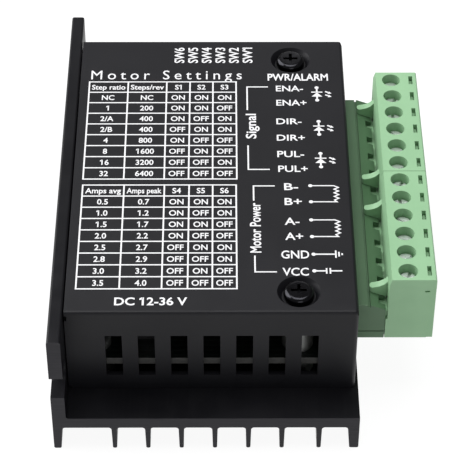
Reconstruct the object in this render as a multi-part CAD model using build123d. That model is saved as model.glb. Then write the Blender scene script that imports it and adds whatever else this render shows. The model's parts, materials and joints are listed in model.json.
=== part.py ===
from build123d import *
import os

# Stepper driver module: an L-shaped finned heatsink, a folded steel cover, a circuit board between
# them, and two 6-way pluggable screw terminals on the right-hand side.
#
# Frame: the origin is at the middle of the footprint, on the plane of the fin tips. +Z is up, +Y runs
# along the fins to the end with the setting switches, and +X points to the terminals. Millimetres.

# Heatsink extrusion
LENGTH = 96.0
BASE_WIDTH = 58.0
WALL_HEIGHT = 29.0
WALL_THICK = 2.6
BASE_BOTTOM = 5.75
BASE_TOP = 8.3
FIN_PITCH = 6.35
FIRST_FIN = 11.6
PITCHED_FINS = 6
LAST_FIN = 50.4
FIN_ROOT_THICK = 1.05
FIN_TIP_THICK = 0.8
LEG_ROOT_THICK = 1.8
LEG_TIP_THICK = 1.4
RIGHT_LEG_ROOT_THICK = 2.2
RIGHT_LEG_TIP_THICK = 1.75
MOUNT_SPACING = 88.0
MOUNT_SLOT_WIDTH = 5.2
MOUNT_SLOT_Z = 16.7

# Folded cover
OVERALL_WIDTH = 72.1
COVER_LEFT = 2.8
COVER_RIGHT = 57.35
COVER_HALF_LENGTH = 40.25
COVER_TOP = 28.8
SHEET = 1.0
BEND_RADIUS = 0.7
INNER_BEND_RADIUS = 0.25
VENT_COUNT = 7
VENT_FIRST = 10.15
VENT_PITCH = 6.13
VENT_WIDTH = 3.15
VENT_BOTTOM = 12.05
VENT_TOP = 22.7
REAR_VENTS = (0, 1, 5, 6)

# Board and the screws through it
BOARD_LEFT = 3.6
BOARD_RIGHT = 56.1
BOARD_HALF_LENGTH = 39.0
BOARD_BOTTOM = 13.8
BOARD_TOP = 15.4
POST_U = 46.35
POST_FRONT = -34.7
POST_REAR = 33.7
CORNER_U = 8.2
SCREW_CORE_R = 1.2
THREAD_HOLE_R = 1.25
CLEAR_HOLE_R = 1.6
BLOCK_RIVETS = (26.0, 36.0)
DIMPLE_DEPTH = 1.2

# Parts on the board: offset, Y, radius and height of each can; Y of each coupler and lamp
CAPACITOR_PLACES = ((40.5, -16.0, 5.0, 10.2), (40.5, -4.0, 5.0, 10.2), (18.0, -31.0, 3.15, 7.7))
OPTO_ROWS = (9.5, 17.0, 24.5)
ALARM_LED_Y = 30.6
POWER_LED_Y = 34.8
LED_Z = 18.6
LED_HOLE_R = 1.75

# Screw terminals
POLE_PITCH = 5.08
POLE_COUNT = 12
PLUG_POLES = 6
FIRST_POLE_Y = 24.6
POLE_U = 66.8
PLUG_BOTTOM = 15.45
PLUG_TOP = 30.8
PLUG_INNER = 63.3
PLUG_MOUTH_SIDE = 62.95
PLATE_THICK = 1.2
PLUG_GAP = 0.1
CAVITY_LEFT = 64.6
CAVITY_HALF_WIDTH = 2.2
CAVITY_BOTTOM = 16.4
CAVITY_TOP = 27.1
SCREW_HEAD_R = 1.7
SCREW_SHANK_R = 1.25
SCREW_SEAT = 27.7
SCREW_HEAD_TOP = 28.9
CAGE_BOTTOM = 16.6
CAGE_TRAVEL = 2.75
HEADER_LEFT = 51.0
HEADER_MOUTH = 62.85
HEADER_FRONT = -33.75
HEADER_REAR = 26.35
HEADER_RIDGE = 24.1
HEADER_SLOPE_LEFT = 59.95
HEADER_SLOPE_FOOT = 22.95
PIN_Z = 19.5
PIN_HALF = 0.5
PIN_LEG_U = 53.4
PIN_TAIL_Z = 12.4
LATCH_OFFSETS = (10.6, -10.9)
LATCH_CLEARANCE = 0.1
LATCH_HALF_WIDTH = 0.72

# Setting switch
SWITCH_U = 30.2
SWITCH_PITCH = 2.54
SWITCH_COUNT = 6
SWITCH_FACE_Y = 38.2
SLIDER_Z = 17.9
SLIDER_TRAVEL = 1.8

LEFT_FACE = -OVERALL_WIDTH / 2
PLUG_OUTER = OVERALL_WIDTH


def x_at(offset):
    """X of a point that lies this far to the right of the mounting wall's outer face."""
    return LEFT_FACE + offset


def block(u_range, y_range, z_range):
    """A box between two offsets from the mounting wall, two Y values and two Z values."""
    width = u_range[1] - u_range[0]
    depth = y_range[1] - y_range[0]
    height = z_range[1] - z_range[0]
    centre = (x_at(sum(u_range) / 2), sum(y_range) / 2, sum(z_range) / 2)
    return Pos(*centre) * Box(width, depth, height)


def upright(u, y, radius, bottom, top):
    """A vertical cylinder."""
    middle = Pos(x_at(u), y, (bottom + top) / 2)
    return middle * Cylinder(radius, top - bottom)


def upright_hex(u, y, across_flats, bottom, top):
    """A vertical hexagonal prism."""
    outline = RegularPolygon(across_flats / 2, 6, major_radius=False)
    return Pos(x_at(u), y, bottom) * extrude(outline, top - bottom)


def outline_along_y(points, y_range):
    """A solid with the given (offset, Z) outline, drawn out between two Y values."""
    corners = [(x_at(u), z) for u, z in points]
    face = make_face(Plane.XZ * Polyline(*corners, close=True))
    return Pos(0, y_range[1], 0) * extrude(face, y_range[1] - y_range[0], dir=(0, -1, 0))


def pole_y(pole):
    """Y of a terminal pole; pole 0 is the one nearest the setting switches."""
    return FIRST_POLE_Y - POLE_PITCH * pole


def switch_u(number):
    """Offset of a setting switch; number 1 is the one nearest the terminals."""
    middle = (SWITCH_COUNT + 1) / 2
    return SWITCH_U + SWITCH_PITCH * (middle - number)


# ---------------------------------------------------------------- heatsink


def fin_outline(centre):
    """One fin, thinner at its rounded tip, reaching a little into the base."""
    root = FIN_ROOT_THICK / 2
    tip = FIN_TIP_THICK / 2
    return [
        (centre - root, BASE_BOTTOM + 0.5),
        (centre - root, BASE_BOTTOM),
        (centre - tip, 0.0),
        (centre + tip, 0.0),
        (centre + root, BASE_BOTTOM),
        (centre + root, BASE_BOTTOM + 0.5),
    ]


def make_heatsink():
    right = BASE_WIDTH
    base_line = BASE_BOTTOM + 0.5
    wall = [(0, 0), (LEG_TIP_THICK, 0), (LEG_ROOT_THICK, BASE_BOTTOM), (LEG_ROOT_THICK, base_line)]
    wall += [(WALL_THICK, base_line), (WALL_THICK, WALL_HEIGHT), (0, WALL_HEIGHT)]
    base = [(0, BASE_BOTTOM), (right, BASE_BOTTOM), (right, BASE_TOP), (0, BASE_TOP)]
    leg = [(right, 0), (right, base_line), (right - RIGHT_LEG_ROOT_THICK, base_line)]
    leg += [(right - RIGHT_LEG_ROOT_THICK, BASE_BOTTOM), (right - RIGHT_LEG_TIP_THICK, 0)]
    centres = [FIRST_FIN + FIN_PITCH * step for step in range(PITCHED_FINS)] + [LAST_FIN]
    outlines = [wall, base, leg] + [fin_outline(centre) for centre in centres]
    section = Sketch()
    for outline in outlines:
        corners = [(x_at(u), z) for u, z in outline]
        section += make_face(Polyline(*corners, close=True))
    tips = [v for v in section.vertices() if v.Y < 0.01]
    section = fillet(tips, 0.36)
    roots = [v for v in section.vertices() if abs(v.Y - BASE_BOTTOM) < 0.01]
    section = fillet(roots, 0.6)
    wall_foot = [
        v
        for v in section.vertices()
        if abs(v.Y - BASE_TOP) < 0.01 and abs(v.X - x_at(WALL_THICK)) < 0.01
    ]
    section = fillet(wall_foot, 0.6)
    wall_top = [v for v in section.vertices() if abs(v.Y - WALL_HEIGHT) < 0.01]
    section = fillet(wall_top, 0.5)
    body = Pos(0, LENGTH / 2, 0) * extrude(Plane.XZ * section, LENGTH)
    slot_end = MOUNT_SPACING / 2
    radius = MOUNT_SLOT_WIDTH / 2
    for side in (1, -1):
        middle = Pos(x_at(WALL_THICK / 2), side * slot_end, MOUNT_SLOT_Z)
        body -= middle * Rot(0, 90, 0) * Cylinder(radius, WALL_THICK + 2)
        y_range = sorted((side * slot_end, side * (LENGTH / 2 + 1)))
        body -= block((-1, WALL_THICK + 1), y_range, (MOUNT_SLOT_Z - radius, MOUNT_SLOT_Z + radius))
    for u in (CORNER_U, POST_U):
        for y in (POST_FRONT, POST_REAR):
            body -= upright(u, y, THREAD_HOLE_R, BASE_BOTTOM - 1, BASE_TOP + 1)
    for u in BLOCK_RIVETS:
        body -= upright(u, 0, THREAD_HOLE_R, BASE_BOTTOM - 1, BASE_TOP + 1)
    return body


# ---------------------------------------------------------------- cover


def rounded_shell(u_range, half_length, top, corner_radius, edge_radius):
    """A block closed at the top, with its two right-hand corners and its bends rounded."""
    shape = block(u_range, (-half_length, half_length), (BASE_TOP, top))
    corners = [edge for edge in shape.edges().filter_by(Axis.Z) if edge.center().X > 0]
    shape = fillet(corners, corner_radius)
    bends = [
        edge
        for edge in shape.edges()
        if edge.center().Z > top - 0.01 and edge.center().X > x_at(u_range[0]) + 0.01
    ]
    return fillet(bends, edge_radius)


def screw_dimple(y):
    """The pressed cup that a cover screw's head sits in."""
    cup = Pos(x_at(POST_U), y, COVER_TOP - DIMPLE_DEPTH / 2) * Cone(3.2, 4.1, DIMPLE_DEPTH)
    under = Pos(x_at(POST_U), y, COVER_TOP - SHEET - DIMPLE_DEPTH / 2) * Cone(3.0, 4.1, DIMPLE_DEPTH)
    return cup, under


def make_cover():
    outer = rounded_shell(
        (COVER_LEFT, COVER_RIGHT), COVER_HALF_LENGTH, COVER_TOP, BEND_RADIUS + 0.1, BEND_RADIUS
    )
    inner = rounded_shell(
        (COVER_LEFT - 1, COVER_RIGHT - SHEET),
        COVER_HALF_LENGTH - SHEET,
        COVER_TOP - SHEET,
        INNER_BEND_RADIUS + 0.1,
        INNER_BEND_RADIUS,
    )
    inner += block(
        (COVER_LEFT - 1, COVER_RIGHT - SHEET - 0.6),
        (-COVER_HALF_LENGTH + SHEET + 0.6, COVER_HALF_LENGTH - SHEET - 0.6),
        (BASE_TOP - 1, BASE_TOP + 5),
    )
    body = outer - inner
    past = (-COVER_HALF_LENGTH - 1, -COVER_HALF_LENGTH + SHEET + 1)
    for index in range(VENT_COUNT):
        start = VENT_FIRST + VENT_PITCH * index
        u_range = (start, start + VENT_WIDTH)
        body -= block(u_range, past, (VENT_BOTTOM, VENT_TOP))
        if index in REAR_VENTS:
            body -= block(u_range, (-past[1], -past[0]), (VENT_BOTTOM, VENT_TOP))
    body -= block((SWITCH_U - 9.2, SWITCH_U + 9.2), (-past[1], -past[0]), (15.1, 22.9))
    through_right = (COVER_RIGHT - SHEET - 1, COVER_RIGHT + 1)
    body -= block(through_right, (HEADER_FRONT - 0.5, HEADER_REAR + 0.45), (0, HEADER_RIDGE + 0.7))
    for y in (ALARM_LED_Y, POWER_LED_Y):
        body -= Pos(x_at(COVER_RIGHT), y, LED_Z) * Rot(0, 90, 0) * Cylinder(LED_HOLE_R, 6)
    for side in (1, -1):
        bend_y = side * (COVER_HALF_LENGTH - BEND_RADIUS)
        bend_z = COVER_TOP - BEND_RADIUS
        seam = sorted((bend_y - side * 0.25, bend_y))
        body -= block((COVER_RIGHT - SHEET - 0.6, COVER_RIGHT + 1), seam, (0, bend_z))
        body -= Pos(x_at(COVER_RIGHT), bend_y, bend_z) * Sphere(0.55)
        notch = sorted((side * (COVER_HALF_LENGTH - 1.4), side * (COVER_HALF_LENGTH + 1)))
        body -= block((COVER_LEFT - 1, COVER_LEFT + 0.45), notch, (COVER_TOP - 2.2, COVER_TOP - 0.9))
    foot = (-COVER_HALF_LENGTH - 1, COVER_HALF_LENGTH + 1)
    body -= block((COVER_LEFT - 1, COVER_LEFT + 0.5), foot, (BASE_TOP - 1, BASE_TOP + 0.65))
    for y in (POST_FRONT, POST_REAR):
        cup, under = screw_dimple(y)
        body += under
        body -= cup
        body -= upright(POST_U, y, CLEAR_HOLE_R, COVER_TOP - 4, COVER_TOP + 1)
    return body


def phillips_recess(u, y, top, reach):
    """A cross-shaped driver recess, tapering to a point."""
    cross = Pos(x_at(u), y, top - 0.45) * Box(2 * reach, 0.62, 0.92)
    cross += Pos(x_at(u), y, top - 0.45) * Box(0.62, 2 * reach, 0.92)
    return cross


def pan_screw(u, y, seat, head_radius, head_height, shank_radius, shank_length):
    """A pan-head machine screw, seated at the given height."""
    head = upright(u, y, head_radius, seat, seat + head_height)
    rim = [edge for edge in head.edges() if edge.center().Z > seat + head_height - 0.01]
    head = fillet(rim, head_height * 0.55)
    shank = upright(u, y, shank_radius, seat - shank_length, seat)
    tip = [edge for edge in shank.edges() if edge.center().Z < seat - shank_length + 0.01]
    shank = chamfer(tip, 0.3)
    return head + shank - phillips_recess(u, y, seat + head_height, head_radius * 0.52)


def make_cover_screws():
    seat = COVER_TOP - DIMPLE_DEPTH
    screws = []
    for y in (POST_FRONT, POST_REAR):
        screws.append(pan_screw(POST_U, y, seat, 2.9, 1.65, SCREW_CORE_R, 6.5))
    return Compound(screws)


# ---------------------------------------------------------------- board and its fixings


def make_circuit_board():
    board = block(
        (BOARD_LEFT, BOARD_RIGHT), (-BOARD_HALF_LENGTH, BOARD_HALF_LENGTH), (BOARD_BOTTOM, BOARD_TOP)
    )
    for u in (CORNER_U, POST_U):
        for y in (POST_FRONT, POST_REAR):
            board -= upright(u, y, CLEAR_HOLE_R, BOARD_BOTTOM - 1, BOARD_TOP + 1)
    for pole in range(POLE_COUNT):
        board -= upright(PIN_LEG_U, pole_y(pole), 0.75, BOARD_BOTTOM - 1, BOARD_TOP + 1)
    return board


def make_board_spacers():
    spacers = []
    for u in (CORNER_U, POST_U):
        for y in (POST_FRONT, POST_REAR):
            spacer = upright_hex(u, y, 5.5, BASE_TOP, BOARD_BOTTOM)
            spacer += upright(u, y, SCREW_CORE_R, BASE_BOTTOM, BASE_TOP)
            spacer -= upright(u, y, THREAD_HOLE_R, BASE_TOP + 0.6, BOARD_BOTTOM + 1)
            spacers.append(spacer)
    return Compound(spacers)


def make_board_screws():
    screws = []
    for y in (POST_FRONT, POST_REAR):
        screws.append(pan_screw(CORNER_U, y, BOARD_TOP, 2.75, 1.7, SCREW_CORE_R, 5.2))
    return Compound(screws)


def make_cover_posts():
    """The two tall posts that the cover screws go into."""
    top = COVER_TOP - SHEET - DIMPLE_DEPTH
    posts = []
    for y in (POST_FRONT, POST_REAR):
        post = upright(POST_U, y, 3.0, BOARD_TOP, top)
        post += upright(POST_U, y, SCREW_CORE_R, BOARD_TOP - 5.0, BOARD_TOP)
        post -= upright(POST_U, y, THREAD_HOLE_R, top - 8.0, top + 1)
        posts.append(post)
    return Compound(posts)


# ---------------------------------------------------------------- parts on the board


def rounded_block(u_range, y_range, z_range, radius):
    """A block whose upright edges are rounded."""
    shape = block(u_range, y_range, z_range)
    return fillet(shape.edges().filter_by(Axis.Z), radius)


def make_driver_chip():
    """The power driver, on the underside of the board so that it can reach the heatsink."""
    return rounded_block((26.5, 35.5), (-4.5, 4.5), (BOARD_BOTTOM - 1.0, BOARD_BOTTOM), 0.15)


def make_thermal_pad():
    return block((25.5, 36.5), (-5.5, 5.5), (BOARD_BOTTOM - 1.6, BOARD_BOTTOM - 1.0))


def make_heat_block():
    """The aluminium block that fills the space between the driver and the heatsink base."""
    top = BOARD_BOTTOM - 1.6
    body = block((22.5, 39.5), (-7.5, 7.5), (BASE_TOP, top))
    for u in BLOCK_RIVETS:
        body += upright(u, 0, SCREW_CORE_R, BASE_BOTTOM, BASE_TOP)
    return body


def can_capacitor(u, y, radius, height):
    """An aluminium can on its square plastic foot."""
    foot = block((u - radius, u + radius), (y - radius, y + radius), (BOARD_TOP, BOARD_TOP + 1.0))
    foot = chamfer(foot.edges().filter_by(Axis.Z).sort_by(Axis.X)[-2:], radius * 0.3)
    can = upright(u, y, radius - 0.15, BOARD_TOP + 1.0, BOARD_TOP + height)
    rim = [edge for edge in can.edges() if edge.center().Z > BOARD_TOP + height - 0.01]
    can = fillet(rim, 0.5)
    return foot, can


def make_capacitor_feet():
    return Compound([can_capacitor(*place)[0] for place in CAPACITOR_PLACES])


def make_capacitor_cans():
    return Compound([can_capacitor(*place)[1] for place in CAPACITOR_PLACES])


def make_voltage_regulator():
    """A step-down regulator in a small flat package with a metal tab."""
    body = block((11.0, 17.5), (-21.0, -14.8), (BOARD_TOP, BOARD_TOP + 2.3))
    body += block((12.0, 16.5), (-14.8, -13.6), (BOARD_TOP, BOARD_TOP + 0.6))
    for u in (12.0, 14.25, 16.5):
        body += block((u - 0.4, u + 0.4), (-23.6, -21.0), (BOARD_TOP, BOARD_TOP + 0.5))
    return body


def make_power_inductor():
    return rounded_block((20.5, 27.5), (-22.0, -15.0), (BOARD_TOP, BOARD_TOP + 4.0), 1.4)


def make_optocouplers():
    """Three small couplers that isolate the step, direction and enable inputs."""
    couplers = []
    for y in OPTO_ROWS:
        coupler = block((41.0, 47.6), (y - 2.3, y + 2.3), (BOARD_TOP + 0.3, BOARD_TOP + 3.8))
        for side in (-1.27, 1.27):
            lead = (y + side - 0.35, y + side + 0.35)
            coupler += block((39.4, 49.2), lead, (BOARD_TOP, BOARD_TOP + 0.8))
        couplers.append(coupler)
    return Compound(couplers)


def make_logic_chip():
    body = block((24.0, 28.0), (12.0, 22.0), (BOARD_TOP + 0.15, BOARD_TOP + 1.7))
    for step in range(8):
        y = 12.6 + 1.27 * step
        body += block((22.9, 29.1), (y - 0.2, y + 0.2), (BOARD_TOP, BOARD_TOP + 0.6))
    return body


def make_surface_chips():
    """The current-sense resistors, and rows of small resistors and ceramic capacitors."""
    chips = []
    for y in (-9.0, -4.5, 0.0, 4.5):
        chips.append(block((12.0, 18.3), (y - 1.6, y + 1.6), (BOARD_TOP, BOARD_TOP + 0.65)))
    for row, u in enumerate((32.0, 35.5)):
        for step in range(5):
            y = 10.5 + 2.6 * step + 0.6 * row
            chips.append(block((u - 1.0, u + 1.0), (y - 0.6, y + 0.6), (BOARD_TOP, BOARD_TOP + 0.6)))
    for step in range(4):
        y = 12.0 + 3.0 * step
        chips.append(block((12.5, 15.7), (y - 0.8, y + 0.8), (BOARD_TOP, BOARD_TOP + 0.9)))
    return Compound(chips)


def make_reverse_diode():
    body = block((26.0, 33.0), (-33.5, -27.6), (BOARD_TOP + 0.2, BOARD_TOP + 2.4))
    body += block((24.8, 34.2), (-32.0, -29.1), (BOARD_TOP, BOARD_TOP + 0.9))
    return body


def make_led(y):
    """A 3 mm lamp lying on its side, facing the hole in the cover's right flange."""
    sideways = Rot(0, 90, 0)
    lens = Pos(x_at(54.1), y, LED_Z) * sideways * Cylinder(1.5, 4.2)
    tip = [edge for edge in lens.edges() if edge.center().X > x_at(56.0)]
    lens = fillet(tip, 1.3)
    collar = Pos(x_at(52.0), y, LED_Z) * sideways * Cylinder(1.8, 0.8)
    foot = block((50.6, 52.0), (y - 1.6, y + 1.6), (BOARD_TOP, LED_Z + 1.7))
    return lens + collar + foot


# ---------------------------------------------------------------- setting switch


def make_switch_body():
    half = SWITCH_PITCH * SWITCH_COUNT / 2 + 0.9
    depth = (SWITCH_FACE_Y - 7.0, SWITCH_FACE_Y)
    body = block((SWITCH_U - half, SWITCH_U + half), depth, (BOARD_TOP, 22.4))
    for number in range(1, SWITCH_COUNT + 1):
        u = switch_u(number)
        body -= block((u - 0.8, u + 0.8), (SWITCH_FACE_Y - 1.6, SWITCH_FACE_Y + 1), (16.9, 20.9))
    return body


def make_switch_pins():
    """The solder legs of the setting switch."""
    pins = []
    for number in range(1, SWITCH_COUNT + 1):
        u = switch_u(number)
        width = (u - 0.25, u + 0.25)
        back = SWITCH_FACE_Y - 7.0
        pin = block(width, (back - 2.0, back - 1.7), (BOARD_TOP, BOARD_TOP + 1.3))
        pin += block(width, (back - 2.0, back), (BOARD_TOP + 1.0, BOARD_TOP + 1.3))
        pins.append(pin)
    return Compound(pins)


def make_slider(number):
    """One switch lever: a square nub on a flat foot that stays inside its slot."""
    u = switch_u(number)
    half = 0.6
    foot_depth = (SWITCH_FACE_Y - 1.5, SWITCH_FACE_Y - 0.7)
    nub_depth = (SWITCH_FACE_Y - 0.7, SWITCH_FACE_Y + 0.75)
    foot = block((u - 0.74, u + 0.74), foot_depth, (SLIDER_Z - 0.9, SLIDER_Z + 0.9))
    nub = block((u - half, u + half), nub_depth, (SLIDER_Z - half, SLIDER_Z + half))
    return foot + nub


# ---------------------------------------------------------------- header and its pins


def make_pin_header():
    points = [
        (HEADER_LEFT, BOARD_TOP),
        (HEADER_MOUTH, BOARD_TOP),
        (HEADER_MOUTH, HEADER_SLOPE_FOOT),
        (HEADER_SLOPE_LEFT, HEADER_RIDGE),
        (HEADER_SLOPE_LEFT, HEADER_RIDGE - 0.5),
        (59.55, HEADER_RIDGE - 0.5),
        (59.55, HEADER_RIDGE),
        (HEADER_LEFT, HEADER_RIDGE),
    ]
    body = outline_along_y(points, (HEADER_FRONT, HEADER_REAR))
    socket_y = (HEADER_FRONT + 0.6, HEADER_REAR - 0.6)
    body -= block((54.9, HEADER_MOUTH + 1), socket_y, (17.0, 22.1))
    for side, wall in ((-1, HEADER_FRONT), (1, HEADER_REAR)):
        groove = sorted((wall - side * 0.12, wall + side))
        body -= block((50, HEADER_MOUTH + 1), groove, (17.05, 17.25))
    for pole in range(POLE_COUNT):
        y = pole_y(pole)
        body -= block((61.65, HEADER_MOUTH + 1), (y - 0.95, y + 0.95), (21.5, 25))
        across = (y - PIN_HALF, y + PIN_HALF)
        body -= block((PIN_LEG_U - PIN_HALF, 55), across, (PIN_Z - PIN_HALF, PIN_Z + PIN_HALF))
        body -= block((PIN_LEG_U - PIN_HALF, PIN_LEG_U + PIN_HALF), across, (BOARD_TOP - 1, PIN_Z))
    return body


def make_header_pins():
    """Twelve square pins, each bent down through the board."""
    pins = []
    for pole in range(POLE_COUNT):
        y = pole_y(pole)
        across = (y - PIN_HALF, y + PIN_HALF)
        pin = block((PIN_LEG_U - PIN_HALF, 61.5), across, (PIN_Z - PIN_HALF, PIN_Z + PIN_HALF))
        pin += block((PIN_LEG_U - PIN_HALF, PIN_LEG_U + PIN_HALF), across, (PIN_TAIL_Z, PIN_Z))
        pins.append(pin)
    return Compound(pins)


# ---------------------------------------------------------------- plugs


def plug_poles(plug):
    """The pole numbers of plug 0 (nearest the setting switches) or plug 1."""
    first = plug * PLUG_POLES
    return range(first, first + PLUG_POLES)


def plug_ends(plug):
    poles = plug_poles(plug)
    half = POLE_PITCH / 2 - PLUG_GAP / 2
    return pole_y(poles[-1]) - half, pole_y(poles[0]) + half


def latch_arm(y):
    """An arm that sweeps down from the plug's top edge and lies over the header's slope."""
    left = HEADER_SLOPE_LEFT - 0.05
    ridge = HEADER_RIDGE + LATCH_CLEARANCE
    foot = HEADER_SLOPE_FOOT + LATCH_CLEARANCE
    points = [
        (left, ridge + 0.02),
        (HEADER_MOUTH, foot),
        (PLUG_INNER + 0.5, foot),
        (PLUG_INNER + 0.5, 27.5),
        (PLUG_INNER, 26.9),
        (62.6, 26.1),
        (61.7, 25.6),
        (60.7, 25.35),
        (left, 25.3),
    ]
    arm = outline_along_y(points, (y - LATCH_HALF_WIDTH, y + LATCH_HALF_WIDTH))
    ends = [edge for edge in arm.edges().filter_by(Axis.Z) if edge.center().X < x_at(left) + 0.01]
    return fillet(ends, 0.6)


def make_plug_body(plug):
    front, rear = plug_ends(plug)
    middle = (front + rear) / 2
    plate_left = PLUG_OUTER - PLATE_THICK
    points = [
        (PLUG_MOUTH_SIDE, PLUG_BOTTOM),
        (plate_left, PLUG_BOTTOM),
        (plate_left, 28.5),
        (PLUG_OUTER, 28.5),
        (PLUG_OUTER, PLUG_TOP - 0.25),
        (PLUG_OUTER - 0.25, PLUG_TOP),
        (PLUG_INNER + 0.4, PLUG_TOP),
        (PLUG_INNER, PLUG_TOP - 1.4),
        (PLUG_INNER, 20.4),
        (PLUG_MOUTH_SIDE, 20.4),
    ]
    body = outline_along_y(points, (front, rear))
    nose_front = max(front + 0.1, HEADER_FRONT + 0.75)
    nose_rear = min(rear - 0.1, HEADER_REAR - 0.75)
    body += block((56.2, PLUG_INNER + 0.5), (nose_front, nose_rear), (17.15, 21.95))
    for offset in LATCH_OFFSETS:
        body += latch_arm(middle + offset)
    for pole in plug_poles(plug):
        y = pole_y(pole)
        inside = (y - CAVITY_HALF_WIDTH, y + CAVITY_HALF_WIDTH)
        body -= block((CAVITY_LEFT, plate_left + 0.1), inside, (CAVITY_BOTTOM, CAVITY_TOP))
        body -= block((56, CAVITY_LEFT + 0.5), (y - 1.45, y + 1.45), (18.3, 21.15))
        body -= upright(POLE_U, y, SCREW_SHANK_R + 0.1, CAVITY_TOP - 0.5, SCREW_SEAT + 0.5)
        body -= upright(POLE_U, y, 1.85, SCREW_SEAT, PLUG_TOP + 1)
        body -= block((plate_left - 0.5, plate_left + 0.3), (y - 1.25, y + 1.25), (27.7, PLUG_TOP + 1))
    for y, inward in ((front, 1), (rear, -1)):
        mark = sorted((y - inward, y + inward * 0.3))
        body -= block((plate_left - 0.9, plate_left + 0.1), mark, (27.6, 28.0))
    return body


def make_wire_plate(plug):
    """The separate face that closes the wire side, with one entry and one snap tab per pole."""
    front, rear = plug_ends(plug)
    plate_left = PLUG_OUTER - PLATE_THICK
    plate = block((plate_left, PLUG_OUTER), (front + 0.12, rear - 0.12), (PLUG_BOTTOM, 28.5))
    for pole in plug_poles(plug):
        y = pole_y(pole)
        entry = block((plate_left - 1, PLUG_OUTER + 1), (y - 1.9, y + 1.9), (16.9, 20.6))
        plate -= entry
        funnel = Pos(x_at(PLUG_OUTER), y, 18.75) * Rot(0, -90, 0) * pyramid_mouth()
        plate -= funnel
        plate += block((plate_left - 0.28, plate_left + 0.25), (y - 1.15, y + 1.15), (27.75, 29.7))
    return plate


def pyramid_mouth():
    """The widening at the outside of a wire entry, made to cut from the face inwards."""
    outer = Rectangle(4.7, 4.7)
    inner = Pos(0, 0, 0.45) * Rectangle(3.7, 3.8)
    return loft(Sketch() + [outer, inner])


def make_plug_contacts(plug):
    """One sprung fork per pole that grips the header pin, with a blade through the clamp cage."""
    contacts = []
    gap = PIN_HALF + 0.03
    leaf = 0.3
    for pole in plug_poles(plug):
        y = pole_y(pole)
        across = (y - 1.0, y + 1.0)
        blade_across = (y - 1.25, y + 1.25)
        contact = block((57.2, 62.8), across, (PIN_Z + gap, PIN_Z + gap + leaf))
        contact += block((57.2, 62.8), across, (PIN_Z - gap - leaf, PIN_Z - gap))
        contact += block((62.4, 62.8), across, (PIN_Z - gap - leaf, 20.95))
        contact += block((62.4, 63.8), across, (20.35, 20.95))
        contact += block((63.6, 69.6), blade_across, (20.35, 20.95))
        contacts.append(contact)
    return Compound(contacts)


def make_terminal_screw(pole):
    y = pole_y(pole)
    head = upright(POLE_U, y, SCREW_HEAD_R, SCREW_SEAT, SCREW_HEAD_TOP)
    rim = [edge for edge in head.edges() if edge.center().Z > SCREW_HEAD_TOP - 0.01]
    head = chamfer(rim, 0.2)
    tip = SCREW_SEAT - 6.1
    shank = upright(POLE_U, y, SCREW_SHANK_R, tip, SCREW_SEAT)
    end = [edge for edge in shank.edges() if edge.center().Z < tip + 0.01]
    shank = chamfer(end, 0.3)
    slot = Pos(x_at(POLE_U), y, SCREW_HEAD_TOP) * Rot(0, 0, 37 * pole + 20) * Box(4, 0.6, 1.3)
    return head + shank - slot


def make_clamp_cage(pole):
    """The steel loop that the terminal screw draws up under the blade to grip the wire."""
    y = pole_y(pole)
    span = (POLE_U - 2.0, POLE_U + 2.0)
    cage = block(span, (y - 2.12, y + 2.12), (CAGE_BOTTOM, CAGE_BOTTOM + 6.0))
    heights = (CAGE_BOTTOM + 0.7, CAGE_BOTTOM + 4.6)
    cage -= block((span[0] - 1, span[1] + 1), (y - 1.55, y + 1.55), heights)
    cage -= upright(POLE_U, y, SCREW_SHANK_R + 0.04, CAGE_BOTTOM + 4, CAGE_BOTTOM + 7)
    return cage


# ---------------------------------------------------------------- write the parts


def all_nodes():
    nodes = {
        "heatsink": make_heatsink(),
        "cover": make_cover(),
        "cover_screws": make_cover_screws(),
        "cover_posts": make_cover_posts(),
        "circuit_board": make_circuit_board(),
        "board_spacers": make_board_spacers(),
        "board_screws": make_board_screws(),
        "driver_chip": make_driver_chip(),
        "thermal_pad": make_thermal_pad(),
        "heat_block": make_heat_block(),
        "capacitor_feet": make_capacitor_feet(),
        "capacitor_cans": make_capacitor_cans(),
        "voltage_regulator": make_voltage_regulator(),
        "power_inductor": make_power_inductor(),
        "reverse_diode": make_reverse_diode(),
        "optocouplers": make_optocouplers(),
        "logic_chip": make_logic_chip(),
        "surface_chips": make_surface_chips(),
        "alarm_led": make_led(ALARM_LED_Y),
        "power_led": make_led(POWER_LED_Y),
        "switch_body": make_switch_body(),
        "switch_pins": make_switch_pins(),
        "pin_header": make_pin_header(),
        "header_pins": make_header_pins(),
    }
    for plug, name in enumerate(("signal_plug", "power_plug")):
        nodes[name + "_body"] = make_plug_body(plug)
        nodes[name + "_wire_plate"] = make_wire_plate(plug)
        nodes[name + "_contacts"] = make_plug_contacts(plug)
    for pole in range(POLE_COUNT):
        nodes[f"terminal_screw_{pole + 1:02d}"] = make_terminal_screw(pole)
        nodes[f"clamp_cage_{pole + 1:02d}"] = make_clamp_cage(pole)
    for number in range(1, SWITCH_COUNT + 1):
        nodes[f"switch_slider_{number}"] = make_slider(number)
    return nodes


os.makedirs("parts", exist_ok=True)
for node, shape in all_nodes().items():
    export_step(shape, f"parts/{node}.step")
    print(node, round(shape.volume, 1))
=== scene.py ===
"""Looks of the stepper driver module: finishes, the printed legend, small details, light and camera."""

import math

import bmesh
import bpy
from mathutils import Matrix, Vector
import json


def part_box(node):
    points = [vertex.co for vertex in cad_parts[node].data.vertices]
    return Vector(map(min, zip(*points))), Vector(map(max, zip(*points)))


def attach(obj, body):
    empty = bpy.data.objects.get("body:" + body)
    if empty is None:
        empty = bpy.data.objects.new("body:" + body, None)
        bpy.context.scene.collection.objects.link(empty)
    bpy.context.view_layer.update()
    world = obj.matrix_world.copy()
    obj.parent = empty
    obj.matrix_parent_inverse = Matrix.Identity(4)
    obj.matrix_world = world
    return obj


MM = 0.001

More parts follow.
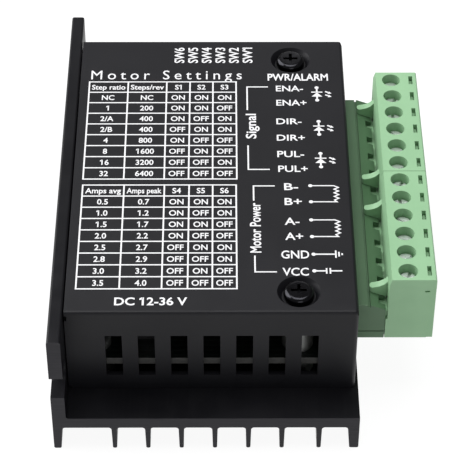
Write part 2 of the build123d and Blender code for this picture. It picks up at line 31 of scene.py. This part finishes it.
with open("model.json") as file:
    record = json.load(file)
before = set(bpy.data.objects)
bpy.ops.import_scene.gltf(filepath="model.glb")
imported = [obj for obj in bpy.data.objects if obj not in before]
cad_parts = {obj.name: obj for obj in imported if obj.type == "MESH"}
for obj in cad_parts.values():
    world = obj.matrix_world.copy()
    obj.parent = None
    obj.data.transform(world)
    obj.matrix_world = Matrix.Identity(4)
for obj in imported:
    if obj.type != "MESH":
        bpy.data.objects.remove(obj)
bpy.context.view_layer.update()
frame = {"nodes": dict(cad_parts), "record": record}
nodes = frame["nodes"]

COVER_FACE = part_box("cover")[1].z

# The camera of the reference view: place in metres, angles in degrees
CAMERA_PLACE = (-0.003807, -0.314865, 0.310000)
CAMERA_AZIMUTH = 0.515
CAMERA_ELEVATION = 43.638
CAMERA_ROLL = 0.289
CAMERA_LENS = 161.96


# ---------------------------------------------------------------- materials


class Surface:
    """A material under construction: a Principled shader and the few nodes that feed it."""

    def __init__(self, name, rough, metallic=0.0, level=0.5):
        self.material = bpy.data.materials.new(name)
        self.material.use_nodes = True
        self.tree = self.material.node_tree
        self.shader = self.tree.nodes["Principled BSDF"]
        self.shader.inputs["Roughness"].default_value = rough
        self.shader.inputs["Metallic"].default_value = metallic
        self.shader.inputs["Specular IOR Level"].default_value = level
        self.place = self.node("ShaderNodeTexCoord").outputs["Object"]
        self.bump_out = None

    def node(self, kind, **settings):
        made = self.tree.nodes.new(kind)
        for key, value in settings.items():
            setattr(made, key, value)
        return made

    def link(self, source, target):
        self.tree.links.new(source, target)

    def stretched(self, factors):
        """The object coordinates, scaled along each axis."""
        mapping = self.node("ShaderNodeMapping")
        mapping.inputs["Scale"].default_value = factors
        self.link(self.place, mapping.inputs["Vector"])
        return mapping.outputs["Vector"]

    def noise(self, size_mm, detail=3.0, vector=None, rough=0.55):
        """A noise pattern whose features are about size_mm across."""
        made = self.node("ShaderNodeTexNoise")
        made.inputs["Scale"].default_value = 1000.0 / size_mm
        made.inputs["Detail"].default_value = detail
        made.inputs["Roughness"].default_value = rough
        self.link(vector or self.place, made.inputs["Vector"])
        return made.outputs["Fac"]

    def spread(self, value, low, high, start=0.3, end=0.7):
        """A pattern's value, spread over a range."""
        made = self.node("ShaderNodeMapRange")
        made.inputs["From Min"].default_value = start
        made.inputs["From Max"].default_value = end
        made.inputs["To Min"].default_value = low
        made.inputs["To Max"].default_value = high
        self.link(value, made.inputs["Value"])
        return made.outputs["Result"]

    def blend(self, factor, first, second):
        """A colour between two, each a colour or another node's output."""
        made = self.node("ShaderNodeMix", data_type="RGBA")
        self.link(factor, made.inputs["Factor"])
        for socket, value in ((made.inputs[6], first), (made.inputs[7], second)):
            if isinstance(value, tuple):
                socket.default_value = (*value, 1.0)
            else:
                self.link(value, socket)
        return made.outputs[2]

    def colour(self, value):
        self.link(value, self.shader.inputs["Base Color"])

    def roughness(self, value):
        self.link(value, self.shader.inputs["Roughness"])

    def bump(self, height, depth_mm, strength=1.0):
        """Adds relief of about depth_mm to the surface."""
        made = self.node("ShaderNodeBump")
        made.inputs["Distance"].default_value = depth_mm * MM
        made.inputs["Strength"].default_value = strength
        self.link(height, made.inputs["Height"])
        if self.bump_out is not None:
            self.link(self.bump_out, made.inputs["Normal"])
        self.bump_out = made.outputs["Normal"]
        self.link(self.bump_out, self.shader.inputs["Normal"])

    def size_along(self, axis, vector):
        """A vector's part along an axis, without its sign."""
        split = self.node("ShaderNodeSeparateXYZ")
        self.link(vector, split.inputs["Vector"])
        made = self.node("ShaderNodeMath", operation="ABSOLUTE")
        self.link(split.outputs[axis], made.inputs[0])
        return made.outputs["Value"]

    def normal_axis(self, axis):
        """How far the surface faces along an axis, from 0 to 1."""
        return self.size_along(axis, self.node("ShaderNodeNewGeometry").outputs["Normal"])

    def above(self, value, limit):
        made = self.node("ShaderNodeMath", operation="GREATER_THAN")
        made.inputs[1].default_value = limit
        self.link(value, made.inputs[0])
        return made.outputs["Value"]

    def distance_from_middle(self, axis):
        """How far a place lies from the origin along an axis."""
        return self.size_along(axis, self.place)


def plain(name, dark, light, rough, metallic=0.0, level=0.5, grain_mm=0.25, relief_mm=0.004):
    """A moulded or rolled finish: two close colours, uneven gloss and a fine grain."""
    made = Surface(name, rough[0], metallic, level)
    made.colour(made.blend(made.spread(made.noise(6.0), 0.0, 1.0), dark, light))
    made.roughness(made.spread(made.noise(3.0, detail=5.0), rough[0], rough[1]))
    made.bump(made.noise(grain_mm, detail=2.0), relief_mm)
    return made


def cover_paint():
    """Black powder coat with a fine pebbled skin and faint handling marks."""
    made = Surface("cover_paint", 0.46, level=0.23)
    fine = made.noise(0.5, detail=2.0)
    broad = made.noise(18.0, detail=4.0)
    cloud = made.spread(broad, 0.0, 1.0)
    base = made.blend(cloud, (0.0052, 0.0052, 0.0070), (0.0072, 0.0072, 0.0094))
    speck = made.spread(made.noise(0.22, detail=1.0), 0.0, 0.3, 0.6, 0.8)
    made.colour(made.blend(speck, base, (0.016, 0.016, 0.019)))
    made.roughness(made.spread(made.noise(9.0, detail=6.0), 0.42, 0.50))
    made.bump(fine, 0.012)
    made.bump(made.noise(0.18, detail=1.0), 0.004)
    return made.material


def heatsink_finish(end_y):
    """Black anodised extrusion: draw lines along its length, and paler sawn ends."""
    made = Surface("black_anodised", 0.38, level=0.13)
    lines = made.noise(0.35, detail=4.0, vector=made.stretched((1.0, 0.012, 1.0)))
    cloud = made.noise(14.0, detail=3.0)
    patches = made.spread(cloud, 0.0, 1.0)
    body = made.blend(patches, (0.0050, 0.0050, 0.0064), (0.0080, 0.0080, 0.0098))
    streaks = made.blend(made.spread(lines, 0.0, 0.2, 0.5, 0.75), body, (0.014, 0.014, 0.016))
    sawn = made.above(made.distance_from_middle("Y"), end_y - 0.05 * MM)
    cuts = made.noise(0.3, detail=3.0, vector=made.stretched((0.05, 1.0, 1.0)))
    cut = made.blend(made.spread(cuts, 0.0, 1.0), (0.021, 0.0205, 0.024), (0.032, 0.0315, 0.036))
    made.colour(made.blend(sawn, streaks, cut))
    made.roughness(made.spread(made.noise(5.0, detail=5.0), 0.30, 0.44))
    made.bump(lines, 0.002)
    made.bump(cuts, 0.003)
    return made.material


def green_nylon(name, dark, light):
    """The moulded polyamide of the header and the plugs."""
    made = Surface(name, 0.4, level=0.4)
    flow = made.noise(7.0, detail=3.0, vector=made.stretched((1.0, 0.35, 1.0)))
    made.colour(made.blend(made.spread(flow, 0.0, 1.0), dark, light))
    made.roughness(made.spread(made.noise(2.5, detail=4.0), 0.36, 0.48))
    made.bump(made.noise(0.2, detail=2.0), 0.004)
    return made.material


def board_finish():
    """Dark solder mask over faint tracks, with the pale glass laminate at the sawn edges."""
    made = Surface("board_laminate", 0.35)
    tracks = made.node("ShaderNodeTexBrick")
    tracks.inputs["Scale"].default_value = 1.0
    tracks.inputs["Brick Width"].default_value = 9.0 * MM
    tracks.inputs["Row Height"].default_value = 1.27 * MM
    tracks.inputs["Mortar Size"].default_value = 0.22 * MM
    tracks.inputs["Mortar Smooth"].default_value = 0.2
    made.link(made.place, tracks.inputs["Vector"])
    cloud = made.spread(made.noise(9.0), 0.0, 1.0)
    mask = made.blend(cloud, (0.0035, 0.0055, 0.0045), (0.005, 0.008, 0.0065))
    traced = made.blend(tracks.outputs["Fac"], mask, (0.008, 0.014, 0.011))
    weave = made.noise(0.3, detail=2.0, vector=made.stretched((0.2, 0.2, 1.0)))
    glass = made.blend(made.spread(weave, 0.0, 1.0), (0.030, 0.030, 0.029), (0.050, 0.050, 0.047))
    flat = made.above(made.normal_axis("Z"), 0.5)
    made.colour(made.blend(flat, glass, traced))
    made.roughness(made.spread(made.noise(4.0, detail=4.0), 0.28, 0.42))
    made.bump(tracks.outputs["Fac"], 0.03)
    return made.material


def brushed_metal(name, dark, light, rough, grain_mm=0.15):
    """Plated or bare metal with fine turning marks."""
    made = Surface(name, rough[0], metallic=1.0)
    marks = made.noise(grain_mm, detail=3.0, vector=made.stretched((1.0, 1.0, 3.0)))
    made.colour(made.blend(made.spread(made.noise(2.0), 0.0, 1.0), dark, light))
    made.roughness(made.spread(marks, rough[0], rough[1]))
    made.bump(marks, 0.004)
    return made.material


def lamp_lens(name, dark, light):
    """Tinted epoxy that lets some light through."""
    made = plain(name, dark, light, (0.08, 0.16), grain_mm=1.5, relief_mm=0.003)
    made.shader.inputs["Transmission Weight"].default_value = 0.55
    made.shader.inputs["IOR"].default_value = 1.52
    return made.material


def print_ink():
    """White screen-print ink, slightly uneven."""
    made = Surface("print_ink", 0.6, level=0.3)
    cloud = made.spread(made.noise(0.6), 0.0, 1.0)
    made.colour(made.blend(cloud, (0.70, 0.70, 0.72), (0.80, 0.80, 0.81)))
    made.roughness(made.spread(made.noise(1.0), 0.5, 0.7))
    made.bump(made.noise(0.25), 0.006)
    return made.material


def all_finishes():
    half_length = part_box("heatsink")[1].y
    return {
        "anodised_aluminium": heatsink_finish(half_length),
        "painted_sheet": cover_paint(),
        "black_screw": brushed_metal("black_oxide", (0.016, 0.016, 0.018), (0.03, 0.03, 0.034), (0.14, 0.26)),
        "plated_steel": brushed_metal("plated_steel", (0.80, 0.84, 0.82), (0.95, 0.98, 0.97), (0.3, 0.5)),
        "board_laminate": board_finish(),
        "chip_plastic": plain("chip_epoxy", (0.012, 0.012, 0.013), (0.022, 0.022, 0.023), (0.5, 0.68)).material,
        "pad_rubber": plain("silicone_pad", (0.30, 0.36, 0.46), (0.38, 0.44, 0.54), (0.6, 0.75)).material,
        "bare_aluminium": brushed_metal("bare_aluminium", (0.40, 0.40, 0.41), (0.52, 0.52, 0.53), (0.34, 0.5)),
        "black_plastic": plain("black_plastic", (0.010, 0.010, 0.011), (0.018, 0.018, 0.02), (0.4, 0.55)).material,
        "ferrite": plain("sintered_ferrite", (0.05, 0.05, 0.055), (0.09, 0.09, 0.095), (0.55, 0.75)).material,
        "red_lens": lamp_lens("red_lens", (0.50, 0.02, 0.02), (0.68, 0.05, 0.04)),
        "green_lens": lamp_lens("green_lens", (0.04, 0.45, 0.08), (0.08, 0.60, 0.14)),
        "switch_plastic": plain("switch_case", (0.33, 0.016, 0.014), (0.42, 0.024, 0.02), (0.38, 0.5)).material,
        "white_plastic": plain("white_lever", (0.68, 0.68, 0.64), (0.78, 0.78, 0.74), (0.35, 0.5)).material,
        "tin_plate": brushed_metal("tin_plate", (0.66, 0.65, 0.60), (0.80, 0.79, 0.74), (0.18, 0.34)),
        "green_plastic": green_nylon("green_nylon", (0.240, 0.430, 0.245), (0.270, 0.470, 0.272)),
    }


finishes = all_finishes()
# A darker copy of the plugs' green nylon for the pin header: painted shade, standing in for the shade that falls
# on the header between the cover and the plugs.
header_painted_shade_green = green_nylon("header_painted_shade_nylon", (0.060, 0.128, 0.063), (0.073, 0.150, 0.075))
dull_zinc = brushed_metal("dull_zinc", (0.26, 0.265, 0.26), (0.36, 0.37, 0.36), (0.42, 0.6))

# The nodes whose finish isn't the usual one of their slot. The pin header's darker green is painted shade: the
# same green nylon as the plugs, darkened to stand in for the shade that falls between the cover and the plugs.
OWN_FINISH = {
    "pin_header": header_painted_shade_green,
    "cover_posts": dull_zinc,
    "board_spacers": dull_zinc,
    "board_screws": dull_zinc,
}

# Width of the small rounding on each node's sharp edges, in millimetres. The wire plates get none,
# because rounding folds the faces between their small windows.
EDGE_ROUNDING = {
    "heatsink": 0.12,
    "cover": 0.08,
    "circuit_board": 0.05,
    "pin_header": 0.10,
    "signal_plug_body": 0.10,
    "power_plug_body": 0.10,
    "signal_plug_wire_plate": 0.0,
    "power_plug_wire_plate": 0.0,
    "switch_body": 0.10,
    "cover_screws": 0.06,
}
DEFAULT_ROUNDING = 0.04


def round_edges(piece, width_mm):
    """Joins the frame's split faces, rounds sharp edges a little and shades the rest smoothly."""
    if not width_mm:
        return
    mesh = piece.data
    if mesh.has_custom_normals:
        mesh.attributes.remove(mesh.attributes["custom_normal"])
    mesh.shade_smooth()
    weld = piece.modifiers.new("weld", "WELD")
    weld.merge_threshold = 0.002 * MM
    bevel = piece.modifiers.new("edge rounding", "BEVEL")
    bevel.width = width_mm * MM
    bevel.segments = 2
    bevel.limit_method = "ANGLE"
    bevel.angle_limit = math.radians(38)
    bevel.use_clamp_overlap = True
    bevel.harden_normals = True


slot_of = {part["node"]: part["material_slot"] for part in frame["record"]["subparts"]}
for name, piece in nodes.items():
    piece.data.materials.clear()
    piece.data.materials.append(OWN_FINISH.get(name, finishes[slot_of[name]]))
    round_edges(piece, EDGE_ROUNDING.get(name, DEFAULT_ROUNDING))


# ---------------------------------------------------------------- printed legend

INK = print_ink()
# Height of a capital letter in Blender's built-in font, at size 1
CAP_HEIGHT = 0.73
INK_LIFT = 0.008
INK_THICK = 0.02
INK_LINE = 0.30


def lettering(words, gap, bold):
    """The words in the built-in font at size 1, as a mesh one unit thick."""
    curve = bpy.data.curves.new("lettering", "FONT")
    curve.body = words
    curve.size = 1.0
    curve.space_character = gap
    curve.offset = bold
    curve.resolution_u = 3
    curve.extrude = 0.5
    holder = bpy.data.objects.new("lettering", curve)
    bpy.context.scene.collection.objects.link(holder)
    bpy.context.view_layer.update()
    mesh = bpy.data.meshes.new_from_object(holder)
    bpy.data.objects.remove(holder)
    bpy.data.curves.remove(curve)
    return mesh


def right_edge(words, gap, bold):
    mesh = lettering(words, gap, bold)
    across = [v.co.x for v in mesh.vertices]
    bpy.data.meshes.remove(mesh)
    return max(across), max(across) - min(across)


def add_flags(letters, words, gap, bold):
    """Gives each figure 1, a plain bar in the built-in font, the flag at its top left."""
    places = [i for i, letter in enumerate(words) if letter == "1"]
    if not places:
        return
    bar = right_edge("1", gap, bold)[1]
    top = CAP_HEIGHT - 0.02
    grown = bmesh.new()
    grown.from_mesh(letters)
    for place in places:
        left = right_edge(words[: place + 1], gap, bold)[0] - bar
        outline = [(left + 0.04, top - 0.20), (left + 0.04, top), (left - 0.02, top)]
        outline += [(left - 0.17, top - 0.12), (left - 0.17, top - 0.24)]
        rings = [[grown.verts.new((x, y, z)) for x, y in outline] for z in (-0.5, 0.5)]
        grown.faces.new(rings[1])
        grown.faces.new(rings[0][::-1])
        for i in range(len(outline)):
            j = (i + 1) % len(outline)
            grown.faces.new((rings[0][i], rings[0][j], rings[1][j], rings[1][i]))
    grown.to_mesh(letters)
    grown.free()


class Print:
    """One printed group on the cover's face, drawn in millimetres of the row frame."""

    def __init__(self, name):
        self.name = name
        self.mesh = bmesh.new()

    def area(self, outline):
        """A filled outline, given as points in order."""
        low = COVER_FACE + INK_LIFT * MM
        high = low + INK_THICK * MM
        bottom = [self.mesh.verts.new((x * MM, y * MM, low)) for x, y in outline]
        top = [self.mesh.verts.new((x * MM, y * MM, high)) for x, y in outline]
        self.mesh.faces.new(top)
        self.mesh.faces.new(bottom[::-1])
        for i in range(len(outline)):
            j = (i + 1) % len(outline)
            self.mesh.faces.new((bottom[i], bottom[j], top[j], top[i]))

    def bar(self, x0, y0, x1, y1):
        self.area([(x0, y0), (x1, y0), (x1, y1), (x0, y1)])

    def dot(self, x, y, radius, sides=16):
        turns = [2 * math.pi * i / sides for i in range(sides)]
        self.area([(x + radius * math.cos(t), y + radius * math.sin(t)) for t in turns])

    def stroke(self, points, width=INK_LINE):
        """A line through the points, with mitred corners."""
        path = [Vector(p) for p in points]
        left, right = [], []
        for i, here in enumerate(path):
            before = (here - path[i - 1]).normalized() if i else None
            after = (path[i + 1] - here).normalized() if i < len(path) - 1 else None
            along = ((before or after) + (after or before)).normalized()
            side = Vector((-along.y, along.x))
            straight = before or after
            reach = width / 2 / max(0.35, abs(side.dot(Vector((-straight.y, straight.x)))))
            left.append(here + side * reach)
            right.append(here - side * reach)
        for i in range(len(path) - 1):
            self.area([right[i], right[i + 1], left[i + 1], left[i]])

    def text(self, words, x, y, height, width=None, squeeze=0.86, anchor=0.0, turn=0.0, bold=0.016, gap=1.0):
        """Lettering whose capitals are height tall. x, y is its baseline at the anchor: 0 left, 0.5 middle."""
        letters = lettering(words, gap, bold)
        add_flags(letters, words, gap, bold)
        across = [v.co.x for v in letters.vertices]
        natural = max(across) - min(across)
        tall = height / CAP_HEIGHT
        wide = width / natural if width else tall * squeeze
        start = min(across) + anchor * natural
        place = Matrix.Translation((x * MM, y * MM, COVER_FACE + (INK_LIFT + INK_THICK / 2) * MM))
        place = place @ Matrix.Rotation(math.radians(turn), 4, "Z")
        place = place @ Matrix.Diagonal((wide * MM, tall * MM, INK_THICK * MM, 1.0))
        letters.transform(place @ Matrix.Translation((-start, 0.0, 0.0)))
        self.mesh.from_mesh(letters)
        bpy.data.meshes.remove(letters)

    def done(self):
        bmesh.ops.recalc_face_normals(self.mesh, faces=self.mesh.faces)
        mesh = bpy.data.meshes.new(self.name)
        self.mesh.to_mesh(mesh)
        self.mesh.free()
        piece = bpy.data.objects.new(self.name, mesh)
        bpy.context.scene.collection.objects.link(piece)
        mesh.materials.append(INK)
        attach(piece, "case")
        return piece


ROWS_IN_TABLE = 9
CELL_CAPITALS = 1.55


def draw_table(name, columns, top, bottom, rows):
    """A ruled table: its column lines, its first and last row line, and the text of each row."""
    table = Print(name)
    half = INK_LINE / 2
    pitch = (top - bottom) / ROWS_IN_TABLE
    lines = [top - pitch * row for row in range(ROWS_IN_TABLE + 1)]
    for line in lines:
        table.bar(columns[0] - half, line - half, columns[-1] + half, line + half)
    for upper, lower in zip(lines, lines[1:]):
        for column in columns:
            table.bar(column - half, lower + half, column + half, upper - half)
    for row, words in enumerate(rows):
        baseline = lines[row] - pitch / 2 - CELL_CAPITALS / 2
        for left, right, word in zip(columns, columns[1:], words):
            middle = (left + right) / 2
            wide = right - left - 1.1 if len(word) > 6 else None
            table.text(word, middle, baseline, CELL_CAPITALS, width=wide, anchor=0.5)
    return table.done()


ON, OFF = "ON", "OFF"
STEP_ROWS = [
    ("Step ratio", "Steps/rev", "S1", "S2", "S3"),
    ("NC", "NC", ON, ON, ON),
    ("1", "200", ON, ON, OFF),
    ("2/A", "400", ON, OFF, ON),
    ("2/B", "400", OFF, ON, ON),
    ("4", "800", ON, OFF, OFF),
    ("8", "1600", OFF, ON, OFF),
    ("16", "3200", OFF, OFF, ON),
    ("32", "6400", OFF, OFF, OFF),
]
CURRENT_ROWS = [
    ("Amps avg", "Amps peak", "S4", "S5", "S6"),
    ("0.5", "0.7", ON, ON, ON),
    ("1.0", "1.2", ON, OFF, ON),
    ("1.5", "1.7", ON, ON, OFF),
    ("2.0", "2.2", ON, OFF, OFF),
    ("2.5", "2.7", OFF, ON, ON),
    ("2.8", "2.9", OFF, OFF, ON),
    ("3.0", "3.2", OFF, ON, OFF),
    ("3.5", "4.0", OFF, OFF, OFF),
]

draw_table("step_table_print", (-31.35, -23.35, -15.4, -10.6, -5.87, -1.1), 26.5, -3.45, STEP_ROWS)
draw_table("current_table_print", (-31.3, -23.2, -15.3, -10.46, -5.84, -1.25), -5.2, -33.95, CURRENT_ROWS)

heading = Print("heading_print")
heading.text("Motor Settings", -31.1, 27.35, 3.0, width=31.2, bold=0.0, gap=1.45)
heading.text("DC 12-36 V", -24.0, -38.2, 2.05, width=13.5, bold=0.02)
heading.text("PWR/ALARM", 5.45, 26.95, 2.25, width=12.5, bold=0.02)
heading.done()

switch_labels = Print("switch_label_print")
SWITCH_LABEL_PITCH = 2.85
SWITCH_LABEL_MIDDLE = -5.85
for number in range(1, 7):
    across = SWITCH_LABEL_MIDDLE + SWITCH_LABEL_PITCH * (3.5 - number)
    switch_labels.text(f"SW{number}", across + 1.05, 32.7, 2.1, width=5.1, turn=90)
switch_labels.done()

# Each terminal's label: its text, left edge, middle height, capital height and width
TERMINAL_LABELS = [
    ("ENA-", 7.1, 24.4, 1.85, 5.6),
    ("ENA+", 7.1, 19.85, 1.85, 6.2),
    ("DIR-", 7.0, 14.0, 1.85, 5.1),
    ("DIR+", 7.0, 8.95, 1.85, 5.65),
    ("PUL-", 7.0, 4.0, 1.9, 5.35),
    ("PUL+", 7.1, -0.4, 1.9, 5.85),
    ("B-", 8.15, -5.65, 2.05, 2.75),
    ("B+", 8.15, -9.95, 2.05, 3.35),
    ("A-", 8.05, -15.55, 2.05, 2.85),
    ("A+", 8.05, -19.75, 2.05, 3.45),
    ("GND", 7.2, -24.75, 2.2, 5.3),
    ("VCC", 7.35, -29.4, 2.15, 4.95),
]

terminal_labels = Print("terminal_label_print")
for words, left, middle, height, width in TERMINAL_LABELS:
    terminal_labels.text(words, left, middle - height / 2, height, width=width, bold=0.014)
terminal_labels.text("Signal", 2.85, 8.65, 2.15, width=7.65, turn=90)
terminal_labels.text("Motor Power", 3.4, -24.3, 2.15, width=13.9, turn=90)
terminal_labels.stroke([(5.45, 24.85), (1.15, 24.85), (1.15, 17.5)])
terminal_labels.stroke([(1.2, 6.55), (1.2, -0.65), (5.45, -0.65)])
terminal_labels.stroke([(6.3, -5.5), (2.15, -5.5), (2.15, -9.75)])
terminal_labels.stroke([(2.2, -25.1), (2.2, -29.5), (6.3, -29.5)])
terminal_labels.done()

SYMBOL_LINE = 0.34
DOT_RADIUS = 0.42


def opto_symbol(symbols, x, y):
    """A light-emitting diode: a bar, a triangle, its two ends and two rays."""
    symbols.dot(x, y + 2.0, DOT_RADIUS)
    symbols.dot(x, y - 2.0, DOT_RADIUS)
    symbols.stroke([(x, y + 1.65), (x, y + 0.72)], SYMBOL_LINE)
    symbols.bar(x - 1.15, y + 0.42, x + 1.15, y + 0.72)
    symbols.area([(x - 1.1, y - 0.85), (x + 1.1, y - 0.85), (x, y + 0.4)])
    symbols.stroke([(x, y - 0.85), (x, y - 1.65)], SYMBOL_LINE)
    for drop in (0.0, 1.05):
        ray = y + 0.55 - drop
        symbols.stroke([(x + 1.7, ray + 0.2), (x + 2.35, ray - 0.1)], SYMBOL_LINE)
        symbols.area([(x + 2.2, ray - 0.55), (x + 3.0, ray - 0.42), (x + 2.5, ray + 0.18)])


def coil_symbol(symbols, x, upper, lower):
    """A motor winding between its two ends."""
    edge = x + 4.55
    symbols.dot(x, upper, DOT_RADIUS)
    symbols.dot(x, lower, DOT_RADIUS)
    teeth = 4
    points = [(x + DOT_RADIUS, upper), (edge, upper)]
    pitch = (upper - lower) / (2 * teeth + 1)
    for tooth in range(2 * teeth):
        swing = 0.9 if tooth % 2 == 0 else 0.05
        points.append((edge + swing, upper - pitch * (tooth + 1)))
    points += [(edge + 0.5, lower), (x + DOT_RADIUS, lower)]
    symbols.stroke(points, 0.28)


symbols = Print("symbol_print")
for x, y in ((15.5, 22.6), (15.55, 11.9), (15.6, 2.1)):
    opto_symbol(symbols, x, y)
coil_symbol(symbols, 13.3, -5.45, -10.1)
coil_symbol(symbols, 13.2, -15.25, -19.9)
symbols.dot(13.35, -24.75, DOT_RADIUS)
symbols.stroke([(13.75, -24.75), (17.4, -24.75)], SYMBOL_LINE)
for x, tall in ((17.55, 1.0), (18.15, 0.62), (18.75, 0.25)):
    symbols.bar(x - 0.15, -24.75 - tall, x + 0.15, -24.75 + tall)
symbols.dot(13.35, -29.25, DOT_RADIUS)
symbols.stroke([(13.75, -29.25), (15.5, -29.25)], SYMBOL_LINE)
symbols.bar(15.5, -30.0, 15.8, -28.5)
symbols.bar(16.2, -30.0, 16.5, -28.5)
symbols.stroke([(16.5, -29.25), (18.6, -29.25)], SYMBOL_LINE)
symbols.done()


# ---------------------------------------------------------------- floor, light and camera


# The floor's half width in metres, and its gap below the part in millimetres
FLOOR_REACH = 3.0
FLOOR_GAP = 0.05
FLOOR_GLOW = 0.93
WORLD_STRENGTH = 0.20
SENSOR_WIDTH = 36.0

# Each soft box: its name, place and width in metres, and power in watts
SOFT_BOXES = (
    ("key", (-0.90, 0.45, 0.74), 1.1, 21.0),
    ("top", (0.0, 0.10, 1.15), 0.8, 8.5),
    ("back", (0.1, 1.2, 0.68), 0.5, 0.8),
    ("front", (0.2, -1.2, 0.35), 0.6, 2.0),
)


def make_floor():
    mesh = bpy.data.meshes.new("floor")
    around = ((-1, -1), (1, -1), (1, 1), (-1, 1))
    corners = [(x * FLOOR_REACH, y * FLOOR_REACH, -FLOOR_GAP * MM) for x, y in around]
    mesh.from_pydata(corners, [], [(0, 1, 2, 3)])
    floor = bpy.data.objects.new("floor", mesh)
    bpy.context.scene.collection.objects.link(floor)
    made = Surface("pale_floor", 0.8, level=0.2)
    cloud = made.spread(made.noise(60.0), 0.0, 1.0)
    made.colour(made.blend(cloud, (0.11, 0.11, 0.11), (0.13, 0.13, 0.13)))
    made.shader.inputs["Emission Color"].default_value = (1.0, 1.0, 1.0, 1.0)
    made.shader.inputs["Emission Strength"].default_value = FLOOR_GLOW
    mesh.materials.append(made.material)


def make_light(name, place, size, power):
    """A square soft box that faces the origin."""
    light = bpy.data.lights.new(name, "AREA")
    light.shape = "SQUARE"
    light.size = size
    light.energy = power
    holder = bpy.data.objects.new(name, light)
    holder.location = place
    holder.rotation_euler = (-Vector(place)).to_track_quat("-Z", "Y").to_euler()
    bpy.context.scene.collection.objects.link(holder)


def make_world(strength):
    world = bpy.data.worlds.new("studio")
    world.use_nodes = True
    world.node_tree.nodes["Background"].inputs["Color"].default_value = (1.0, 1.0, 1.0, 1.0)
    world.node_tree.nodes["Background"].inputs["Strength"].default_value = strength
    bpy.context.scene.world = world


def make_camera():
    azimuth = math.radians(CAMERA_AZIMUTH)
    elevation = math.radians(CAMERA_ELEVATION)
    roll = math.radians(CAMERA_ROLL)
    level = math.cos(elevation)
    forward = Vector((math.sin(azimuth) * level, math.cos(azimuth) * level, -math.sin(elevation)))
    right = Vector((math.cos(azimuth), -math.sin(azimuth), 0.0))
    up = right.cross(forward)
    side = math.cos(roll) * right + math.sin(roll) * up
    top = -math.sin(roll) * right + math.cos(roll) * up
    data = bpy.data.cameras.new("camera")
    data.lens = CAMERA_LENS
    data.sensor_width = SENSOR_WIDTH
    data.clip_start = 0.01
    holder = bpy.data.objects.new("camera", data)
    turn = Matrix((side, top, -forward)).transposed()
    holder.matrix_world = Matrix.Translation(CAMERA_PLACE) @ turn.to_4x4()
    bpy.context.scene.collection.objects.link(holder)
    bpy.context.scene.camera = holder


make_floor()
make_world(WORLD_STRENGTH)
for soft_box in SOFT_BOXES:
    make_light(*soft_box)
make_camera()
bpy.context.scene.view_settings.view_transform = "Standard"
